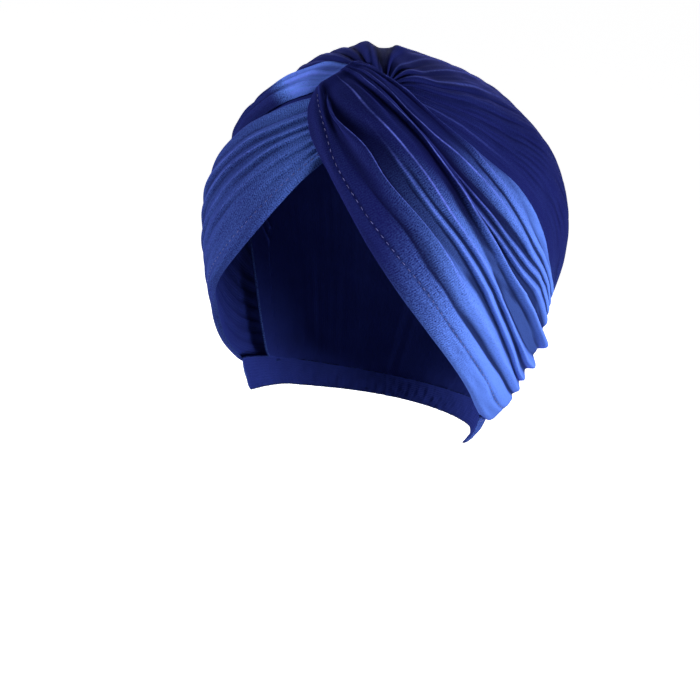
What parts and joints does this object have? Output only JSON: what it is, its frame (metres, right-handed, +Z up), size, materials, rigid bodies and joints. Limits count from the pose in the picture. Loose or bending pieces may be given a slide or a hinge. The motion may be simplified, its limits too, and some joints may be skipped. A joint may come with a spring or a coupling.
{
  "type": "twist turban headwrap",
  "caption": "Pleated cloth turban with a twist over the forehead, two crossing front wraps, a gathered crown and a band round the nape.",
  "frame": {"origin": "middle of the head opening, level with the brows, where the head sits", "axes": "+Z up, the wearer's face towards -Y, +X towards the wearer's left"},
  "size_m": [0.1769, 0.1951, 0.1863],
  "materials": {
    "velvet": "royal blue stretch velvet with a short pile"
  },
  "bodies": {
    "root": {"crown": "velvet", "wrap_left": "velvet", "wrap_right": "velvet", "twist_strap": "velvet", "hem_left": "velvet", "hem_right": "velvet", "nape_band": "velvet"}
  },
  "joints": []
}
